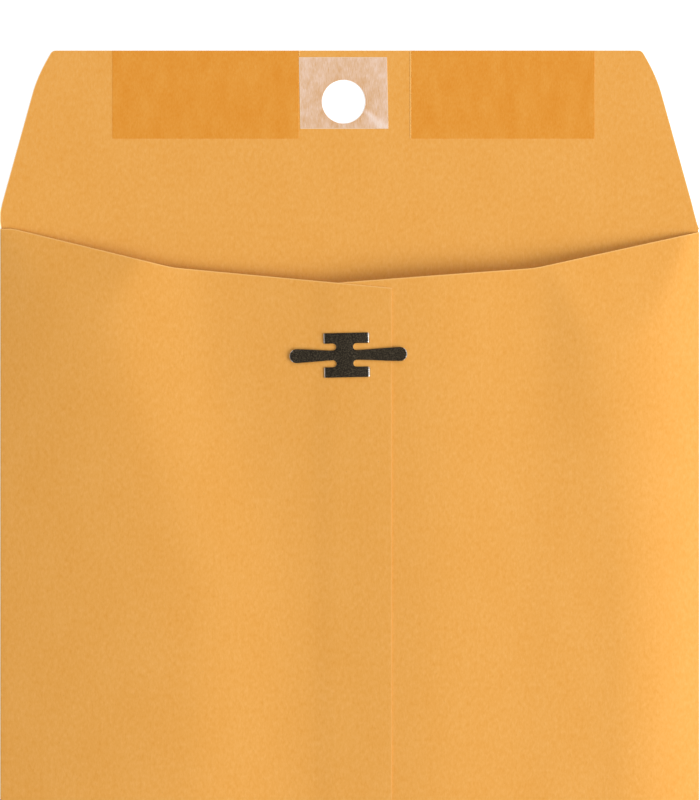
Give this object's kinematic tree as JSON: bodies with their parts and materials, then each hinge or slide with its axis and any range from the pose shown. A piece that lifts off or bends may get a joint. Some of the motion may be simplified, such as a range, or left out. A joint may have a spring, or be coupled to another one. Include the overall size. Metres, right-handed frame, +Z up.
{
  "type": "clasp envelope",
  "caption": "Flat kraft paper envelope with a folding seal flap, a reinforced hole in the flap, and a metal clasp whose prongs bend up through the hole.",
  "frame": {"origin": "middle of the whole outline with the flap open, on the surface the envelope lies on", "axes": "+X across the envelope, +Y from the folded bottom to the tip of the open seal flap, +Z up, away from the surface, on the clasp side"},
  "size_m": [0.2286, 0.363, 0.0066],
  "materials": {
    "kraft_paper": "uncoated golden brown kraft, matte, faint fibres",
    "envelope_glue": "dried paste film",
    "patch_paper": "thin translucent fibrous tissue, slightly glossy",
    "seal_gum": "dried remoistenable gum, half gloss",
    "clasp_metal": "dark painted steel, bare bright metal at the bent edges"
  },
  "bodies": {
    "envelope": {"front_panel": "kraft_paper", "left_back_panel": "kraft_paper", "right_back_panel": "kraft_paper", "seam_glue": "envelope_glue", "bottom_flap": "kraft_paper", "bottom_flap_glue": "envelope_glue", "clasp_plate": "clasp_metal"},
    "flap": {"seal_flap": "kraft_paper", "hole_patch": "patch_paper", "seal_gum_left": "seal_gum", "seal_gum_right": "seal_gum"},
    "left_prong": {"clasp_prong_left": "clasp_metal"},
    "right_prong": {"clasp_prong_right": "clasp_metal"}
  },
  "joints": [
    {"name": "flap_fold", "type": "hinge", "parent": "envelope", "child": "flap", "pos_m": [0, 0.1233, 0.0005], "axis": [1, 0, 0], "range_deg": [0, 161]},
    {"name": "left_prong_bend", "type": "hinge", "parent": "envelope", "child": "left_prong", "pos_m": [-0.00549, 0.08173, 0.00506], "axis": [-0.021, 0.9998, 0], "range_deg": [0, 90]},
    {"name": "right_prong_bend", "type": "hinge", "parent": "envelope", "child": "right_prong", "pos_m": [0.0023, 0.08189, 0.0055], "axis": [0.021, -0.9998, 0], "range_deg": [0, 90]}
  ]
}
